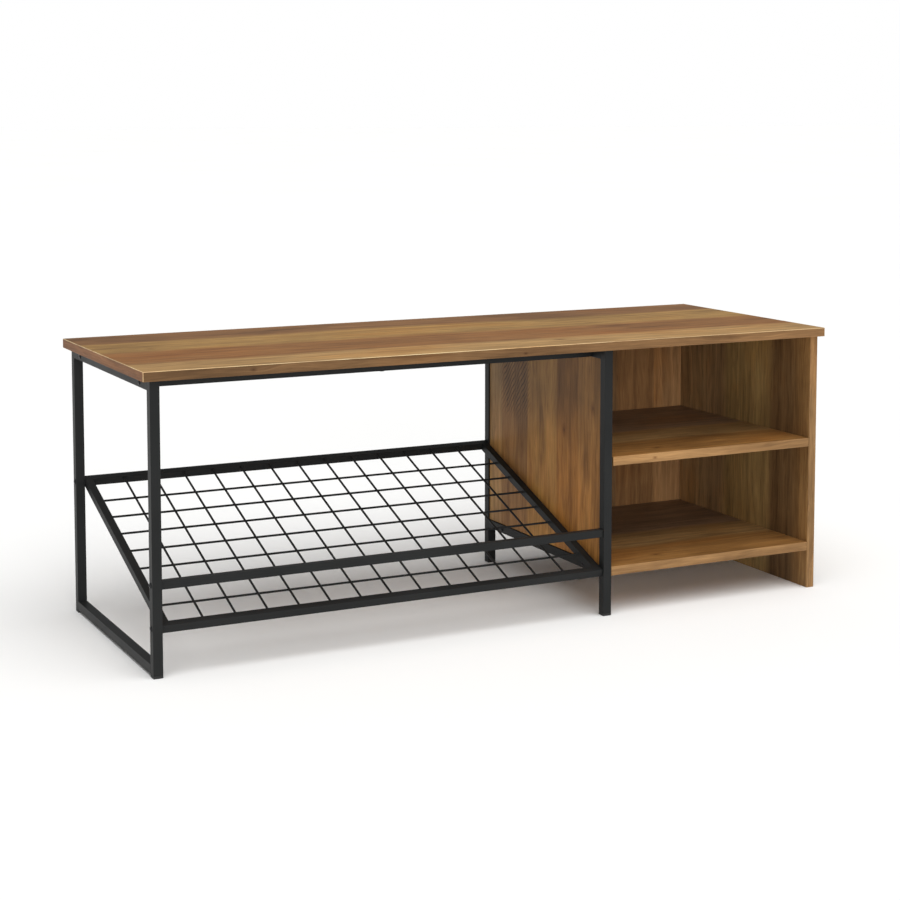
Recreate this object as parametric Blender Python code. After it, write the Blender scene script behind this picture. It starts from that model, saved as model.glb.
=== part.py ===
"""Entryway bench: a board seat on two square-tube frames, a sloped wire shoe rack and a two-level cubby.

Metres, +Z up. X runs along the bench, the front faces -Y, and the origin is at the middle of the
bench's footprint, on the floor.
"""

import math

import bmesh
import bpy
from mathutils import Matrix, Vector

# Overall sizes.
LENGTH = 1.219
DEPTH = 0.438
HEIGHT = 0.457
FIT = 0.0003  # gap between two pieces that touch

# Boards.
BOARD = 0.015
CUBBY_WIDTH = 0.3966  # clear, between the divider and the right panel
CUBBY_END_INSET = 0.0091  # right panel's outer face, from the seat's end
BOARD_FRONT_INSET = 0.008
PANEL_REAR_INSET = 0.007
BACK_PANEL_INSET = 0.015
BOTTOM_SHELF_HEIGHT = 0.0664  # underside, above the floor
MIDDLE_SHELF_HEIGHT = 0.2497
DIVIDER_RECESS = 0.0023  # the divider's left face, behind the middle frame's left face

# Square steel tube of the two frames.
TUBE = 0.015
TUBE_WALL = 0.0012
FRAME_END_INSET = 0.0121
FRAME_FACE_INSET = 0.0075
TOP_RAIL_INSET = 0.051  # front and rear top rails, from the seat's edges
FOOT_HEIGHT = 0.004
FOOT_PLUG = 0.010

# Sloped rack and its stop bar, in a lighter square tube.
RACK_TUBE = 0.0127
RACK_WALL = 0.001
RACK_TILT = math.radians(19.75)
RACK_FRONT_INSET = 0.0091  # the rack's lower top edge, from the seat's front
RACK_REAR_INSET = 0.0116
RACK_FRONT_HEIGHT = 0.0777  # of that lower top edge
BAR_FRONT_INSET = 0.0105
BAR_HEIGHT = 0.1319  # underside
END_PLATE = 0.004  # tapped plates that close the ends of the bar and of the top rails

# Welded wire mesh of the rack.
WIRE_RADIUS = 0.0018
WIRE_SIDES = 8
LONG_WIRES = 7
CROSS_WIRES = 13
MESH_END_GAP = 0.0543  # first and last cross wire, from the rack's inner faces
MESH_FRONT_GAP = 0.0503
MESH_REAR_GAP = 0.0593
MESH_DROP = 0.0017  # the mesh lies this far under the rack's top face

# Fasteners.
BOLT_RADIUS = 0.0025
BOLT_HEAD_RADIUS = 0.0046
BOLT_HEAD_HEIGHT = 0.0010
BOLT_CLEARANCE = 0.0003
BOLT_REACH = 0.009  # how far a bolt runs into the piece it holds
SOCKET_RADIUS = 0.0018
SOCKET_DEPTH = 0.0008
RACK_BOLT_INSET = 0.0165
SHELF_BOLT_INSET = 0.0745
SHELF_BOLT_REACH = 0.025
TOP_SCREW_RADIUS = 0.002
TOP_SCREW_REACH = 0.010
ROUND_SIDES = 12

# Places that follow from the sizes above.
LEFT, RIGHT = -LENGTH / 2, LENGTH / 2
FRONT, REAR = -DEPTH / 2, DEPTH / 2
SEAT_UNDERSIDE = HEIGHT - BOARD
LEG_FRONT = FRONT + FRAME_FACE_INSET
LEG_REAR = REAR - FRAME_FACE_INSET
LEFT_FRAME = LEFT + FRAME_END_INSET
PANEL_LEFT = RIGHT - CUBBY_END_INSET - BOARD
DIVIDER_RIGHT = PANEL_LEFT - CUBBY_WIDTH
MIDDLE_FRAME = DIVIDER_RIGHT - BOARD - DIVIDER_RECESS
CUBBY_LEFT = max(DIVIDER_RIGHT, MIDDLE_FRAME + TUBE + FIT + BOLT_HEAD_HEIGHT) + FIT
BOTTOM_SHELF_TOP = BOTTOM_SHELF_HEIGHT + BOARD
LOWER_RAIL_HEIGHT = BOTTOM_SHELF_TOP - TUBE
BAY_LEFT = LEFT_FRAME + TUBE
BAY_RIGHT = MIDDLE_FRAME
TOP_RAIL_BOTTOM = SEAT_UNDERSIDE - FIT - TUBE
RACK_SLOPE = (DEPTH - RACK_FRONT_INSET - RACK_REAR_INSET) / math.cos(RACK_TILT)


def make_material(name, colour, roughness, metallic):
    """A Principled material from a linear colour."""
    made = bpy.data.materials.new(name)
    made.use_nodes = True
    shader = made.node_tree.nodes["Principled BSDF"]
    shader.inputs["Base Color"].default_value = (*colour, 1)
    shader.inputs["Roughness"].default_value = roughness
    shader.inputs["Metallic"].default_value = metallic
    return made


def add_object(name, points, faces, material, parent=None):
    """A mesh object with its faces pointing out, its origin at the middle of its box."""
    centre = sum((Vector(p) for p in points), Vector()) / len(points)
    mesh = bpy.data.meshes.new(name)
    mesh.from_pydata([Vector(p) - centre for p in points], [], faces)
    shape = bmesh.new()
    shape.from_mesh(mesh)
    bmesh.ops.recalc_face_normals(shape, faces=shape.faces)
    shape.to_mesh(mesh)
    shape.free()
    mesh.materials.append(material)
    made = bpy.data.objects.new(name, mesh)
    made.location = centre
    made.parent = parent
    bpy.context.collection.objects.link(made)
    return made


def skin(rings, closed):
    """Points and faces of a surface through rings of equally many points.

    closed joins the last ring to the first, as in a tube; otherwise the two end rings are capped.
    """
    count = len(rings[0])
    points = [point for ring in rings for point in ring]
    faces = []
    for i in range(len(rings) if closed else len(rings) - 1):
        here = i * count
        there = (i + 1) % len(rings) * count
        for k in range(count):
            after = (k + 1) % count
            faces.append((here + k, here + after, there + after, there + k))
    if not closed:
        faces.append(tuple(range(count)))
        faces.append(tuple(range(len(points) - count, len(points))))
    return points, faces


def square_ring(half, count=4):
    """Points of a square outline, corners included, for a count that is a multiple of 4."""
    ring = []
    for k in range(count):
        turn = math.radians(45) + k * math.tau / count
        a, b = math.cos(turn), math.sin(turn)
        reach = half / max(abs(a), abs(b))
        ring.append((a * reach, b * reach))
    return ring


def round_ring(radius, count):
    """Points of a circle, at the same directions as square_ring's."""
    turns = [math.radians(45) + k * math.tau / count for k in range(count)]
    return [(radius * math.cos(turn), radius * math.sin(turn)) for turn in turns]


def hexagon_ring(radius):
    """A hexagon's corners and the middles of its sides, as ROUND_SIDES points."""
    flat = radius * math.cos(math.radians(30))
    ring = []
    for k in range(ROUND_SIDES):
        turn = math.radians(45) + k * math.tau / ROUND_SIDES
        reach = flat if k % 2 else radius
        ring.append((reach * math.cos(turn), reach * math.sin(turn)))
    return ring


def along(axis, place, ring, distance, lean=0):
    """A ring's points at a distance along an axis through place.

    lean tilts the cut: the distance changes by lean for each metre along the ring's first direction.
    """
    turned = []
    for a, b in ring:
        reach = distance + lean * a
        offset = {"X": (reach, a, b), "Y": (a, reach, b), "Z": (a, b, reach)}[axis]
        turned.append(tuple(p + o for p, o in zip(place, offset)))
    return turned


def box(name, low, high, material):
    """A rectangular board between two corners."""
    middle = [(a + b) / 2 for a, b in zip(low, high)]
    corners = [(low[0], low[1]), (high[0], low[1]), (high[0], high[1]), (low[0], high[1])]
    ring = [(x - middle[0], y - middle[1]) for x, y in corners]
    rings = [along("Z", middle, ring, z - middle[2]) for z in (low[2], high[2])]
    return add_object(name, *skin(rings, closed=False), material)


def tube(name, axis, place, length, size, wall, material, mitre=0, parent=None):
    """A square tube with open ends. It starts at place, the middle of its first end.

    mitre 1 or -1 cuts both ends at 45 degrees, so that the tube gets shorter towards that side.
    """
    outer = square_ring(size / 2)
    inner = square_ring(size / 2 - wall)
    rings = []
    for ring, start, end in ((outer, 0, 1), (inner, 1, 0)):
        for side in (start, end):
            cut = abs(mitre) * size / 2
            distance = length - cut if side else cut
            rings.append(along(axis, place, ring, distance, -mitre if side else mitre))
    return add_object(name, *skin(rings, closed=True), material, parent)


def plated_tube(name, place, length, size, wall, material):
    """A square tube along X whose ends are closed by plates, each with a hole for a bolt."""
    count = 16
    outer = square_ring(size / 2, count)
    inner = square_ring(size / 2 - wall, count)
    hole = round_ring(BOLT_RADIUS + BOLT_CLEARANCE, count)
    stations = (
        (outer, 0),
        (outer, length),
        (hole, length),
        (hole, length - END_PLATE),
        (inner, length - END_PLATE),
        (inner, END_PLATE),
        (hole, END_PLATE),
        (hole, 0),
    )
    rings = [along("X", place, ring, distance) for ring, distance in stations]
    return add_object(name, *skin(rings, closed=True), material)


def turned(name, axis, place, way, stations, material):
    """A turned piece: stations are (ring, distance) pairs, and way is 1 or -1 along the axis."""
    rings = [along(axis, place, ring, way * distance) for ring, distance in stations]
    made = add_object(name, *skin(rings, closed=False), material)
    made.data.shade_smooth()
    made.data.set_sharp_from_angle(angle=math.radians(40))
    return made


def fastener(name, axis, seat, way, radius, length, material):
    """A socket-head bolt or screw. seat is the middle of the face its head lies on.

    way is the direction along the axis in which the shank runs.
    """
    shank = round_ring(radius, ROUND_SIDES)
    head = round_ring(BOLT_HEAD_RADIUS, ROUND_SIDES)
    dome = round_ring(BOLT_HEAD_RADIUS * 0.8, ROUND_SIDES)
    socket = hexagon_ring(SOCKET_RADIUS)
    top = -FIT - BOLT_HEAD_HEIGHT
    stations = (
        (shank, length),
        (shank, -FIT),
        (head, -FIT),
        (head, -FIT - BOLT_HEAD_HEIGHT * 0.6),
        (dome, top),
        (socket, top),
        (socket, top + SOCKET_DEPTH),
    )
    return turned(name, axis, seat, way, stations, material)


def drill(name, axis, seat, way, radius, length, pieces):
    """Cuts a fastener's hole through pieces, with a cutter that stays out of renders."""
    hole = round_ring(radius + BOLT_CLEARANCE, ROUND_SIDES)
    rings = [along(axis, seat, hole, way * distance) for distance in (-TUBE / 4, length + FIT)]
    cutter = add_object("cut_" + name, *skin(rings, closed=False), pieces[0].data.materials[0])
    cutter.hide_render = True
    cutter.display_type = "WIRE"
    for piece in pieces:
        cut = piece.modifiers.new(cutter.name, "BOOLEAN")
        cut.operation = "DIFFERENCE"
        cut.solver = "EXACT"
        cut.object = cutter


def build_seat(boards):
    return box("top_panel", (LEFT, FRONT, SEAT_UNDERSIDE), (RIGHT, REAR, HEIGHT), boards)


def build_leg(name, frame_x, y, steel, plastic):
    """A leg from its foot cap up to the seat, and the cap that plugs its lower end."""
    bottom = FOOT_HEIGHT + FIT
    middle = (frame_x + TUBE / 2, y + TUBE / 2, bottom)
    length = SEAT_UNDERSIDE - FIT - bottom
    leg = tube(name + "_leg", "Z", middle, length, TUBE, TUBE_WALL, steel)
    flange = square_ring(TUBE / 2)
    plug = square_ring(TUBE / 2 - TUBE_WALL - FIT)
    stations = ((flange, 0), (flange, FOOT_HEIGHT), (plug, FOOT_HEIGHT), (plug, FOOT_HEIGHT + FOOT_PLUG))
    rings = [along("Z", (*middle[:2], 0), ring, height) for ring, height in stations]
    add_object(name + "_foot", *skin(rings, closed=False), plastic)
    return leg


def build_side_rail(name, frame_x, bottom, steel):
    """A rail from front to rear, between a frame's two legs."""
    start = LEG_FRONT + TUBE + FIT
    length = LEG_REAR - TUBE - FIT - start
    middle = (frame_x + TUBE / 2, start, bottom + TUBE / 2)
    return tube(name, "Y", middle, length, TUBE, TUBE_WALL, steel)


def build_frame(name, frame_x, lower_rail, lower_height, steel, plastic):
    """A welded end frame: two legs, a top rail and a lower rail."""
    return {
        "front_leg": build_leg(name + "_front", frame_x, LEG_FRONT, steel, plastic),
        "rear_leg": build_leg(name + "_rear", frame_x, LEG_REAR - TUBE, steel, plastic),
        "top_rail": build_side_rail(name + "_top_rail", frame_x, TOP_RAIL_BOTTOM, steel),
        "lower_rail": build_side_rail(name + lower_rail, frame_x, lower_height, steel),
    }


def build_bay_rail(name, y, bottom, size, wall, steel):
    """A rail along X between the two frames, with a plate at each end for its bolts."""
    start = BAY_LEFT + FIT
    length = BAY_RIGHT - FIT - start
    return plated_tube(name, (start, y + size / 2, bottom + size / 2), length, size, wall, steel)


def build_rack_frame(slope, steel):
    """The four mitred rails of the rack, in the sloped frame: X across, Y up the slope, Z out of it."""
    start = BAY_LEFT + FIT
    width = BAY_RIGHT - FIT - start
    half = RACK_TUBE / 2
    seam = FIT / math.sqrt(2)
    rails = {}
    for name, y, mitre in (("front", half, 1), ("rear", RACK_SLOPE - half, -1)):
        place = (start + seam, y, -half)
        rails[name] = tube(
            f"rack_{name}_rail", "X", place, width - 2 * seam, RACK_TUBE, RACK_WALL, steel, mitre, slope
        )
    for name, x, mitre in (("left", start + half, 1), ("right", start + width - half, -1)):
        place = (x, 0, -half)
        rails[name] = tube(
            f"rack_{name}_rail", "Y", place, RACK_SLOPE, RACK_TUBE, RACK_WALL, steel, mitre, slope
        )
    return rails


def build_mesh(slope, steel):
    """The rack's wires, cross wires above long ones, from rail to rail."""
    left = BAY_LEFT + FIT + RACK_TUBE
    right = BAY_RIGHT - FIT - RACK_TUBE
    lower, upper = RACK_TUBE, RACK_SLOPE - RACK_TUBE
    ring = round_ring(WIRE_RADIUS, WIRE_SIDES)
    cross_level = -MESH_DROP - WIRE_RADIUS
    long_level = cross_level - 2 * WIRE_RADIUS - FIT
    cross_pitch = (right - left - 2 * MESH_END_GAP) / (CROSS_WIRES - 1)
    long_pitch = (upper - lower - MESH_FRONT_GAP - MESH_REAR_GAP) / (LONG_WIRES - 1)
    wires = []
    for i in range(CROSS_WIRES):
        place = (left + MESH_END_GAP + i * cross_pitch, lower + FIT, cross_level)
        wires.append((f"rack_cross_wire_{i + 1:02d}", "Y", place, upper - lower - 2 * FIT))
    for i in range(LONG_WIRES):
        place = (left + FIT, lower + MESH_FRONT_GAP + i * long_pitch, long_level)
        wires.append((f"rack_long_wire_{i + 1}", "X", place, right - left - 2 * FIT))
    for name, axis, place, length in wires:
        rings = [along(axis, place, ring, distance) for distance in (0, length)]
        wire = add_object(name, *skin(rings, closed=False), steel, slope)
        wire.data.shade_smooth()
        wire.data.set_sharp_from_angle(angle=math.radians(60))


def build_cubby(boards):
    """Divider, right panel, back panel and two shelves. Returns the bottom shelf, which is bolted."""
    shelf_front = FRONT + BOARD_FRONT_INSET
    back_front = REAR - BACK_PANEL_INSET - BOARD
    seat = SEAT_UNDERSIDE - FIT
    inner_right = PANEL_LEFT - FIT
    box(
        "divider_panel",
        (DIVIDER_RIGHT - BOARD, LEG_FRONT + TUBE + FIT, BOTTOM_SHELF_TOP + FIT),
        (DIVIDER_RIGHT, LEG_REAR - TUBE - FIT, TOP_RAIL_BOTTOM - FIT),
        boards,
    )
    box(
        "right_panel",
        (PANEL_LEFT, shelf_front, 0),
        (PANEL_LEFT + BOARD, REAR - PANEL_REAR_INSET, seat),
        boards,
    )
    box(
        "back_panel",
        (CUBBY_LEFT, back_front, BOTTOM_SHELF_HEIGHT),
        (inner_right, back_front + BOARD, seat),
        boards,
    )
    box(
        "middle_shelf",
        (CUBBY_LEFT, shelf_front, MIDDLE_SHELF_HEIGHT),
        (inner_right, back_front - FIT, MIDDLE_SHELF_HEIGHT + BOARD),
        boards,
    )
    return box(
        "bottom_shelf",
        (MIDDLE_FRAME + TUBE + FIT, shelf_front, BOTTOM_SHELF_HEIGHT),
        (inner_right, back_front - FIT, BOTTOM_SHELF_TOP),
        boards,
    )


def rack_point(y):
    """World place, in Y and Z, of the point on the rack rails' centre line that lies at world y."""
    edge = FRONT + RACK_FRONT_INSET
    half = RACK_TUBE / 2
    up_slope = (y - edge - half * math.sin(RACK_TILT)) / math.cos(RACK_TILT)
    return y, RACK_FRONT_HEIGHT + up_slope * math.sin(RACK_TILT) - half * math.cos(RACK_TILT)


def bolt_bay(frames, rack, shelf, steel):
    """Bolts through both frames into the rack, the stop bar and the top rails.

    The head of the rack's front bolt lies in a recess in the end of the bottom shelf.
    """
    rear_leg = LEG_REAR - TUBE / 2
    bar_place = (FRONT + BAR_FRONT_INSET + RACK_TUBE / 2, BAR_HEIGHT + RACK_TUBE / 2)
    rail_middle = TOP_RAIL_INSET + TUBE / 2
    rail_height = TOP_RAIL_BOTTOM + TUBE / 2
    for side, seat_x, way in (("left", LEFT_FRAME, 1), ("middle", MIDDLE_FRAME + TUBE, -1)):
        frame = frames[side]
        rack_rail = rack["left" if side == "left" else "right"]
        jobs = (
            ("rack_front_bolt", rack_point(FRONT + RACK_BOLT_INSET), frame["front_leg"], rack_rail),
            ("rack_rear_bolt", rack_point(rear_leg), frame["rear_leg"], rack_rail),
            ("bar_bolt", bar_place, frame["front_leg"], None),
            ("front_rail_bolt", (FRONT + rail_middle, rail_height), frame["top_rail"], None),
            ("rear_rail_bolt", (REAR - rail_middle, rail_height), frame["top_rail"], None),
        )
        for job, place, carrier, held in jobs:
            name = f"{side}_{job}"
            seat = (seat_x, *place)
            length = TUBE + FIT + BOLT_REACH
            fastener(name, "X", seat, way, BOLT_RADIUS, length, steel)
            pieces = [carrier] if held is None else [carrier, held]
            drill(name, "X", seat, way, BOLT_RADIUS, length, pieces)
    recess = (MIDDLE_FRAME + TUBE, *rack_point(FRONT + RACK_BOLT_INSET))
    depth = FIT + BOLT_HEAD_HEIGHT
    drill("shelf_recess", "X", recess, 1, BOLT_HEAD_RADIUS, depth, [shelf])


def bolt_shelf(lower_rail, shelf, steel):
    """Two bolts through the middle frame's lower rail into the end of the bottom shelf."""
    for name, y in (("front", FRONT + SHELF_BOLT_INSET), ("rear", REAR - SHELF_BOLT_INSET)):
        seat = (MIDDLE_FRAME, y, LOWER_RAIL_HEIGHT + TUBE / 2)
        length = TUBE + FIT + SHELF_BOLT_REACH
        fastener(f"shelf_{name}_bolt", "X", seat, 1, BOLT_RADIUS, length, steel)
        drill(f"shelf_{name}_bolt", "X", seat, 1, BOLT_RADIUS, length, [lower_rail, shelf])


def screw_seat(top_rails, seat_board, steel):
    """One screw up through the middle of each top rail of the bay, into the seat."""
    length = TUBE + FIT + TOP_SCREW_REACH
    for side, rail in top_rails.items():
        name = side + "_seat_screw"
        seat = ((BAY_LEFT + BAY_RIGHT) / 2, rail.location.y, TOP_RAIL_BOTTOM)
        fastener(name, "Z", seat, 1, TOP_SCREW_RADIUS, length, steel)
        drill(name, "Z", seat, 1, TOP_SCREW_RADIUS, length, [rail, seat_board])


def main():
    for old in list(bpy.data.objects):
        bpy.data.objects.remove(old, do_unlink=True)
    boards = make_material("oak_laminate", (0.32, 0.15, 0.06), 0.45, 0)
    steel = make_material("black_powder_coat", (0.02, 0.02, 0.02), 0.5, 0)
    plastic = make_material("black_plastic", (0.015, 0.015, 0.015), 0.6, 0)
    screws = make_material("black_oxide", (0.03, 0.03, 0.03), 0.4, 1)

    slope = bpy.data.objects.new("rack_slope", None)
    slope.location = (0, FRONT + RACK_FRONT_INSET, RACK_FRONT_HEIGHT)
    slope.rotation_euler = Matrix.Rotation(RACK_TILT, 3, "X").to_euler()
    bpy.context.collection.objects.link(slope)

    seat_board = build_seat(boards)
    frames = {
        "left": build_frame(
            "left", LEFT_FRAME, "_bottom_rail", FOOT_HEIGHT + FIT, steel, plastic
        ),
        "middle": build_frame(
            "middle", MIDDLE_FRAME, "_lower_rail", LOWER_RAIL_HEIGHT, steel, plastic
        ),
    }
    top_rails = {}
    for side, y in (("front", FRONT + TOP_RAIL_INSET), ("rear", REAR - TOP_RAIL_INSET - TUBE)):
        name = side + "_top_rail"
        top_rails[side] = build_bay_rail(name, y, TOP_RAIL_BOTTOM, TUBE, TUBE_WALL, steel)
    build_bay_rail("stop_bar", FRONT + BAR_FRONT_INSET, BAR_HEIGHT, RACK_TUBE, RACK_WALL, steel)
    rack = build_rack_frame(slope, steel)
    build_mesh(slope, steel)
    bottom_shelf = build_cubby(boards)
    bolt_bay(frames, rack, bottom_shelf, screws)
    bolt_shelf(frames["middle"]["lower_rail"], bottom_shelf, screws)
    screw_seat(top_rails, seat_board, screws)


main()
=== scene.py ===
# %% [markdown]
# # An entryway bench in Blender
#
# The bench is a board seat on two welded frames of black square tube. Between the frames hangs a
# sloped wire rack for shoes, and beside it stands an open cubby made of wood-grain boards.
#
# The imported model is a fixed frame: it gives the size and the place of every piece. This script
# builds a finished piece on each of them, with its real edges, welds, seams and surface.

# %% Load the fixed frame
import math

import bmesh
import bpy
from mathutils import Matrix, Vector


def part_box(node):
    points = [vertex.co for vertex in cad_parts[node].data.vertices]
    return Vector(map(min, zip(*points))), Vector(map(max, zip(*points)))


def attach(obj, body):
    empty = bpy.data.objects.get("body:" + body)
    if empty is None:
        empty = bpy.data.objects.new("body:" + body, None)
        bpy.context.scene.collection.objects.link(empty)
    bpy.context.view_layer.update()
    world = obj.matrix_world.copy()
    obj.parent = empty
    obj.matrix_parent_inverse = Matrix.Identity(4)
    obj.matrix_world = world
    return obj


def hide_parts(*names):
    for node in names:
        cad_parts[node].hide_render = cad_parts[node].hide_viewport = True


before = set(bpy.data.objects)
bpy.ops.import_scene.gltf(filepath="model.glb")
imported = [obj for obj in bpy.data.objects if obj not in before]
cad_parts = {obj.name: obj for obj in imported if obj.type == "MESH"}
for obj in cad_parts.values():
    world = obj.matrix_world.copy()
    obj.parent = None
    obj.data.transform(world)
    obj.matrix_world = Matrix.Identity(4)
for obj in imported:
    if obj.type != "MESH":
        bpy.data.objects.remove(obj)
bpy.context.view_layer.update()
nodes = sorted(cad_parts)
print(len(nodes), "nodes in the frame")

# %% [markdown]
# ## Colours and nodes
#
# A colour is picked as a hex value on a screen, in sRGB, but a shader reads linear light. One
# function turns one into the other, so that every colour below can be read as a painter would
# write it.
#
# A second function adds one shader node, with its settings, its links and, on a colour ramp, its
# stops. Every material below is made with it, so a recipe reads as a list of nodes in order.

# %% Helpers for colours and shader nodes
MM = 0.001
FACTOR, UNDER, OVER, BLENDED = 0, 6, 7, 2  # numbers of a Mix node's colour inputs and output
LOW, HIGH, TO_LOW, TO_HIGH = 1, 2, 3, 4  # numbers of a Map Range node's inputs


def linear(hex_colour):
    """An RGBA colour in linear light, from an sRGB hex value such as "#8A6440"."""
    channels = [int(hex_colour[i : i + 2], 16) / 255 for i in (1, 3, 5)]
    decoded = [c / 12.92 if c <= 0.04045 else ((c + 0.055) / 1.055) ** 2.4 for c in channels]
    return (*decoded, 1.0)


def set_stops(band, stops):
    """Gives a colour ramp exactly these (position, hex colour) stops."""
    while len(band.elements) < len(stops):
        band.elements.new(1.0)
    while len(band.elements) > len(stops):
        band.elements.remove(band.elements[-1])
    for element, (position, colour) in zip(band.elements, stops):
        element.position = position
        element.color = linear(colour)


def add(tree, kind, inputs=None, out=0, stops=None, stepped=False, **settings):
    """Adds a node and returns one of its outputs.

    inputs maps a socket's name or number to a value or to another node's output, out is the
    output's name or number, and stops and stepped are for a colour ramp.
    """
    made = tree.nodes.new("ShaderNode" + kind)
    for name, value in settings.items():
        setattr(made, name, value)
    for name, value in (inputs or {}).items():
        if isinstance(value, bpy.types.NodeSocket):
            tree.links.new(value, made.inputs[name])
        else:
            made.inputs[name].default_value = value
    if stops:
        made.color_ramp.interpolation = "CONSTANT" if stepped else "LINEAR"
        set_stops(made.color_ramp, stops)
    return made.outputs[out] if made.outputs else None


def new_material(name):
    """An empty material and its node tree, with a Principled shader on the output."""
    material = bpy.data.materials.new(name)
    material.use_nodes = True
    tree = material.node_tree
    tree.nodes.clear()
    surface = add(tree, "BsdfPrincipled")
    add(tree, "OutputMaterial", {"Surface": surface})
    return material, tree, surface.node


print("a mid brown in linear light:", [round(c, 3) for c in linear("#8A6440")])

# %% [markdown]
# ## Wood-grain laminate
#
# The boards are chipboard with a printed paper laminate: a picture of old oak planks, laid side by
# side, under a thin clear resin. So the surface is smooth and satin, and all of the wood is
# colour: planks of different tone, long streaks of grain, short dark pores, cloudy stains, a few
# knots and some saw marks.
#
# Blender's Wave texture gives neat rings, but a printed oak is irregular, so noise is used. It is
# sampled on coordinates in metres, which keeps every pattern at its real size, and is drawn out
# along the grain.

# %% Grain coordinates and streaks
GRAIN_STREAK = 9 * MM  # width of a broad streak
GRAIN_LINE = 2.2 * MM  # width of a fine line
PORE_WIDTH = 1.5 * MM  # drawn a little coarser than oak's pores, so that they still show
STAIN = 110 * MM  # size of a cloudy stain
BLOTCH = 24 * MM  # width of a small dark blotch
STRETCH = 26.0  # how much longer than wide a streak is


def grain_axes(tree, along, across, shift):
    """Coordinates in metres with X along the grain and Y across it. shift moves the pattern."""
    place = add(tree, "TexCoord", out="Object")
    parts = add(tree, "SeparateXYZ", {0: place}).node.outputs
    third = ({"X", "Y", "Z"} - {along, across}).pop()
    joined = add(tree, "CombineXYZ", {0: parts[along], 1: parts[across], 2: parts[third]})
    moved = add(tree, "VectorMath", {0: joined, 1: shift}, operation="ADD")
    return joined, moved


def streaks(tree, place, width, stretch, seed, detail=3.0, roughness=0.55):
    """Noise drawn out along the grain, as streaks of about this width."""
    size = 1 / width
    scale = (size / stretch, size, size)
    scaled = add(tree, "VectorMath", {0: place, 1: scale}, operation="MULTIPLY")
    inputs = {"Vector": scaled, "W": seed, "Scale": 1.0}
    inputs.update({"Detail": detail, "Roughness": roughness})
    return add(tree, "TexNoise", inputs, noise_dimensions="4D")


def sway(tree, noise, width):
    """A distance that wanders to both sides of 0, out of a noise that goes from 0 to 1."""
    centred = add(tree, "Math", {0: noise, 1: 0.5}, operation="SUBTRACT")
    return add(tree, "Math", {0: centred, 1: width}, operation="MULTIPLY")


print("a broad streak is about", round(GRAIN_STREAK * STRETCH / MM), "mm long")

# %% [markdown]
# ### Planks
#
# A ramp across the grain gives each plank its own tone. A second ramp gives each plank a number
# that moves its grain to another part of the noise, so that at a crisp edge no streak runs on
# into the next plank. Where the print blends two planks, the grain changes slowly as well.

# %% Planks
CRISP = 0.01  # an edge softer than this share of the board's width blends its two planks
CRISP_JUMP, BLENDED_JUMP = 40.0, 1.0  # how far apart in the noise two planks are


def plank_edges(planks):
    """Where each plank starts, as a share of the board's width."""
    edges = [0.0]
    for width, _ in planks[:-1]:
        edges.append(edges[-1] + width)
    return edges


def plank_tones(tree, share, planks, blur):
    """The planks' colours, by the share of the board's width."""
    stops = []
    for i, (edge, (_, colour)) in enumerate(zip(plank_edges(planks), planks)):
        if i:
            stops.append((edge - blur, planks[i - 1][1]))
        stops.append((edge + (blur if i else 0.0), colour))
    return add(tree, "ValToRGB", {"Fac": share}, stops=stops)


def plank_seeds(tree, share, planks, blur):
    """A number for each plank, which gives it its own grain."""
    greys = [40 + (i * 97) % 180 for i in range(len(planks))]
    stops = [(edge, "#" + f"{grey:02X}" * 3) for edge, grey in zip(plank_edges(planks), greys)]
    crisp = blur < CRISP
    steps = add(tree, "ValToRGB", {"Fac": share}, stops=stops, stepped=crisp)
    jump = CRISP_JUMP if crisp else BLENDED_JUMP
    return add(tree, "Math", {0: steps, 1: jump}, operation="MULTIPLY")


print("four equal planks start at", plank_edges(((1 / 4, ""),) * 4))

# %% [markdown]
# ### Grain, stains and pores
#
# The print is built up as a printer would lay down ink. Overlay keeps a plank's own tone and only
# spreads it into lighter and darker streaks. Multiply lays a thin brown over it, for stains and
# pores. Each layer is held between two levels of its noise, which sets how much it covers.

# %% Grain, stains and pores
BROAD_GREYS = ("#8C8278", "#E2DED8")  # the darkest and lightest of a broad streak
FINE_GREYS = ("#8A8076", "#E0DCD6")


def spread(tree, colour, noise, levels, strength, greys):
    """Light and dark streaks over a colour, between two levels of the noise."""
    light = add(tree, "MapRange", {"Value": noise, LOW: levels[0], HIGH: levels[1]})
    inks = add(tree, "ValToRGB", {"Fac": light}, stops=((0, greys[0]), (1, greys[1])))
    layers = {FACTOR: strength, UNDER: colour, OVER: inks}
    return add(tree, "Mix", layers, out=BLENDED, data_type="RGBA", blend_type="OVERLAY")


def ink(tree, colour, noise, levels, strengths, tint, blend="MULTIPLY"):
    """A tint over a colour. Its strength follows the noise, between two levels of it."""
    inputs = {"Value": noise, LOW: levels[0], HIGH: levels[1]}
    inputs.update({TO_LOW: strengths[0], TO_HIGH: strengths[1]})
    layers = {FACTOR: add(tree, "MapRange", inputs), UNDER: colour, OVER: linear(tint)}
    return add(tree, "Mix", layers, out=BLENDED, data_type="RGBA", blend_type=blend)


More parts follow.
